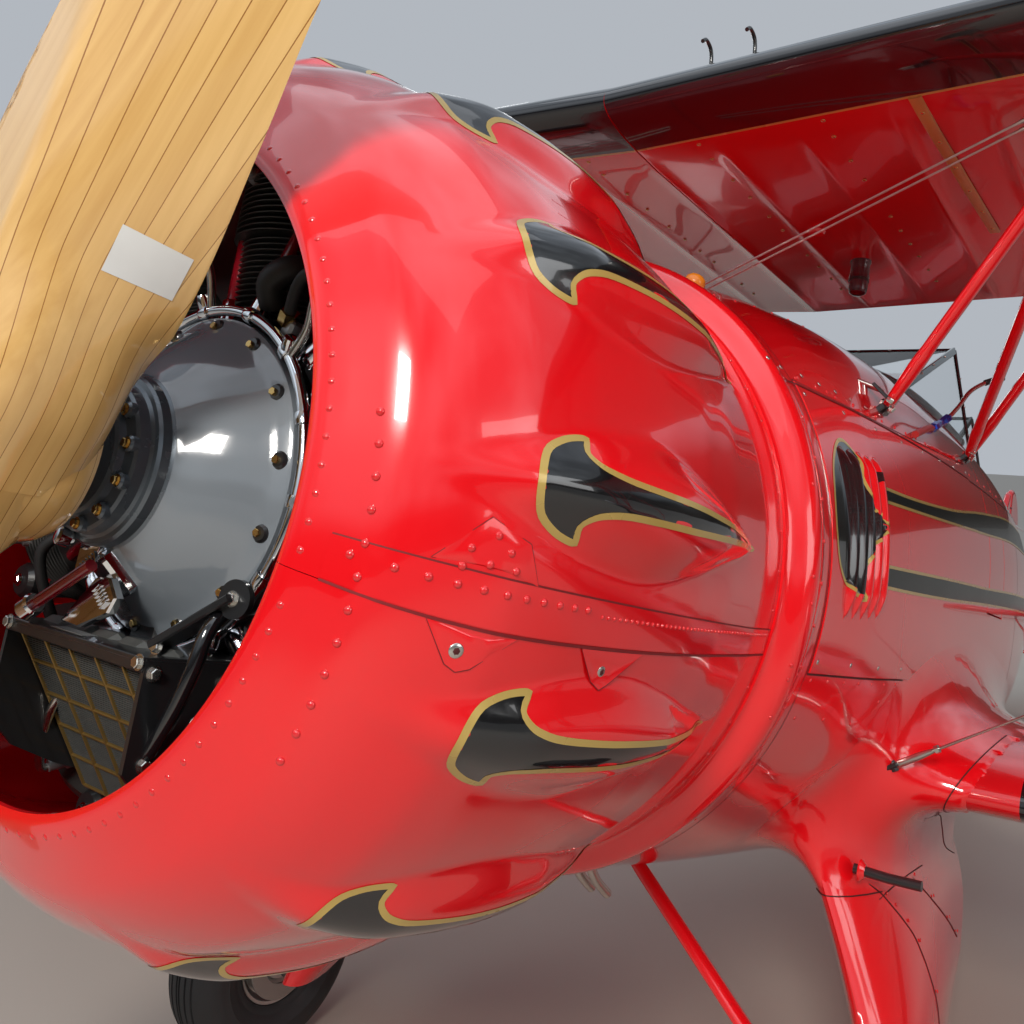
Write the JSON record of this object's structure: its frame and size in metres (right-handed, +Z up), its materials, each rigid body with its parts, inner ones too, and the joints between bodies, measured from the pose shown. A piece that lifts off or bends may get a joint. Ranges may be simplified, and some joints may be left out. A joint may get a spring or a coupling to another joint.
{
  "type": "open-cockpit biplane",
  "caption": "Open-cockpit touring biplane with a bump-cowled radial engine, wooden propeller, strut-braced wings and fixed tailwheel undercarriage.",
  "frame": {"origin": "centre of the footprint box, on the ground under the aircraft", "axes": "+X to the aircraft's left, -Y ahead towards the propeller, +Z up, parked tail-down"},
  "size_m": [9.1446, 7.3222, 2.7761],
  "materials": {
    "red_panels": "gloss",
    "red_fabric": "gloss",
    "red_tubes": "gloss",
    "stay_steel": "polished",
    "engine_grey": "gloss",
    "black_metal": "satin",
    "plain_steel": "satin",
    "varnished_wood": "gloss",
    "floor_wood": "satin",
    "seat_leather": "satin",
    "clear_glass": "polished",
    "tyre_rubber": "matte",
    "hub_aluminium": "satin"
  },
  "bodies": {
    "airframe": {"forward_fuselage": "red_panels", "rear_fuselage": "red_fabric", "cockpit_floor": "floor_wood", "instrument_panel_front": "black_metal", "instrument_panel_rear": "black_metal", "seat_front": "seat_leather", "seat_rear": "seat_leather", "headrest_fairing": "red_panels", "windshield_front": "clear_glass", "windshield_rear": "clear_glass", "side_panel_left": "red_panels", "side_panel_right": "red_panels", "cowling_upper": "red_panels", "cowling_lower": "red_panels", "engine": "engine_grey", "oil_cooler": "black_metal", "exhaust_pipe": "plain_steel", "upper_wing_left": "red_fabric", "upper_wing_right": "red_fabric", "lower_wing_left": "red_fabric", "lower_wing_right": "red_fabric", "fin": "red_fabric", "tailwheel_spring": "plain_steel", "stabiliser_left": "red_fabric", "stabiliser_right": "red_fabric", "tail_strut_left": "red_tubes", "tail_strut_right": "red_tubes", "interplane_strut_left": "red_tubes", "interplane_strut_right": "red_tubes", "cabane_strut_left": "red_tubes", "cabane_strut_right": "red_tubes", "gear_leg_left": "red_tubes", "gear_leg_right": "red_tubes", "flying_wire_front_left": "stay_steel", "flying_wire_front_right": "stay_steel", "flying_wire_rear_left": "stay_steel", "flying_wire_rear_right": "stay_steel", "landing_wire_left": "stay_steel", "landing_wire_right": "stay_steel"},
    "propeller": {"propeller": "varnished_wood", "propeller_front_plate": "plain_steel"},
    "wheel_left": {"tyre_left": "tyre_rubber", "wheel_hub_left": "hub_aluminium"},
    "wheel_right": {"tyre_right": "tyre_rubber", "wheel_hub_right": "hub_aluminium"},
    "tailwheel_fork": {"tailwheel_fork": "plain_steel"},
    "tailwheel": {"tailwheel": "tyre_rubber"},
    "rudder": {"rudder": "red_fabric"},
    "elevator": {"elevator_left": "red_fabric", "elevator_right": "red_fabric"},
    "aileron_lower_left": {"aileron_lower_left": "red_fabric"},
    "aileron_upper_left": {"aileron_upper_left": "red_fabric"},
    "aileron_lower_right": {"aileron_lower_right": "red_fabric"},
    "aileron_upper_right": {"aileron_upper_right": "red_fabric"},
    "aileron_link_left": {"aileron_link_left": "red_tubes"},
    "aileron_link_right": {"aileron_link_right": "red_tubes"},
    "front_cockpit_door": {"front_cockpit_door": "red_panels"}
  },
  "joints": [
    {"name": "propeller_spin", "type": "hinge", "parent": "airframe", "child": "propeller", "pos_m": [0, -3.43677, 1.75586], "axis": [0, 0.9781, -0.2079], "continuous": true},
    {"name": "wheel_left_spin", "type": "hinge", "parent": "airframe", "child": "wheel_left", "pos_m": [0.965, -2.21696, 0.28], "axis": [1, 0, 0], "continuous": true},
    {"name": "wheel_right_spin", "type": "hinge", "parent": "airframe", "child": "wheel_right", "pos_m": [-0.965, -2.21696, 0.28], "axis": [1, 0, 0], "continuous": true},
    {"name": "tailwheel_steer", "type": "hinge", "parent": "airframe", "child": "tailwheel_fork", "pos_m": [0, 2.86397, 0.27], "axis": [0, 0, 1], "range_deg": [-35, 35]},
    {"name": "tailwheel_spin", "type": "hinge", "parent": "tailwheel_fork", "child": "tailwheel", "pos_m": [0, 2.91397, 0.13], "axis": [1, 0, 0], "continuous": true},
    {"name": "rudder_swing", "type": "hinge", "parent": "airframe", "child": "rudder", "pos_m": [0, 3.1973, 0.85692], "axis": [0, 0.2079, 0.9781], "range_deg": [-28, 28]},
    {"name": "elevator_swing", "type": "hinge", "parent": "airframe", "child": "elevator", "pos_m": [0, 2.87627, 0.66446], "axis": [1, 0, 0], "range_deg": [-22, 28]},
    {"name": "aileron_lower_left_swing", "type": "hinge", "parent": "airframe", "child": "aileron_lower_left", "pos_m": [2.58733, -0.66084, 0.89161], "axis": [0.9994, 0.0073, 0.0341], "range_deg": [-25, 25]},
    {"name": "aileron_upper_left_swing", "type": "hinge", "parent": "airframe", "child": "aileron_upper_left", "pos_m": [2.99208, -1.01047, 2.42596], "axis": [0.9994, 0.0073, 0.0341], "range_deg": [-25, 25]},
    {"name": "aileron_lower_right_swing", "type": "hinge", "parent": "airframe", "child": "aileron_lower_right", "pos_m": [-2.58733, -0.66084, 0.89161], "axis": [0.9994, -0.0073, -0.0341], "range_deg": [-25, 25]},
    {"name": "aileron_upper_right_swing", "type": "hinge", "parent": "airframe", "child": "aileron_upper_right", "pos_m": [-2.99208, -1.01047, 2.42596], "axis": [0.9994, -0.0073, -0.0341], "range_deg": [-25, 25]},
    {"name": "aileron_link_left_turn", "type": "hinge", "parent": "aileron_lower_left", "child": "aileron_link_left", "pos_m": [2.60811, -0.52426, 0.9089], "axis": [0.9994, 0.0073, 0.0341], "range_deg": [-27.5, 27.5]},
    {"name": "aileron_link_right_turn", "type": "hinge", "parent": "aileron_lower_right", "child": "aileron_link_right", "pos_m": [-2.60811, -0.52426, 0.9089], "axis": [0.9994, -0.0073, -0.0341], "range_deg": [-27.5, 27.5]},
    {"name": "front_door_swing", "type": "hinge", "parent": "airframe", "child": "front_cockpit_door", "pos_m": [0.647, -0.80224, 1.26028], "axis": [0, 0.9781, -0.2079], "range_deg": [0, 105]}
  ],
  "couplings": [
    {"joint": "aileron_upper_left_swing", "follows": "aileron_lower_left_swing", "ratio": 1},
    {"joint": "aileron_lower_right_swing", "follows": "aileron_lower_left_swing", "ratio": -1},
    {"joint": "aileron_upper_right_swing", "follows": "aileron_lower_left_swing", "ratio": -1},
    {"joint": "aileron_link_left_turn", "follows": "aileron_lower_left_swing", "ratio": -1.0811},
    {"joint": "aileron_link_right_turn", "follows": "aileron_lower_left_swing", "ratio": 1.0811}
  ]
}
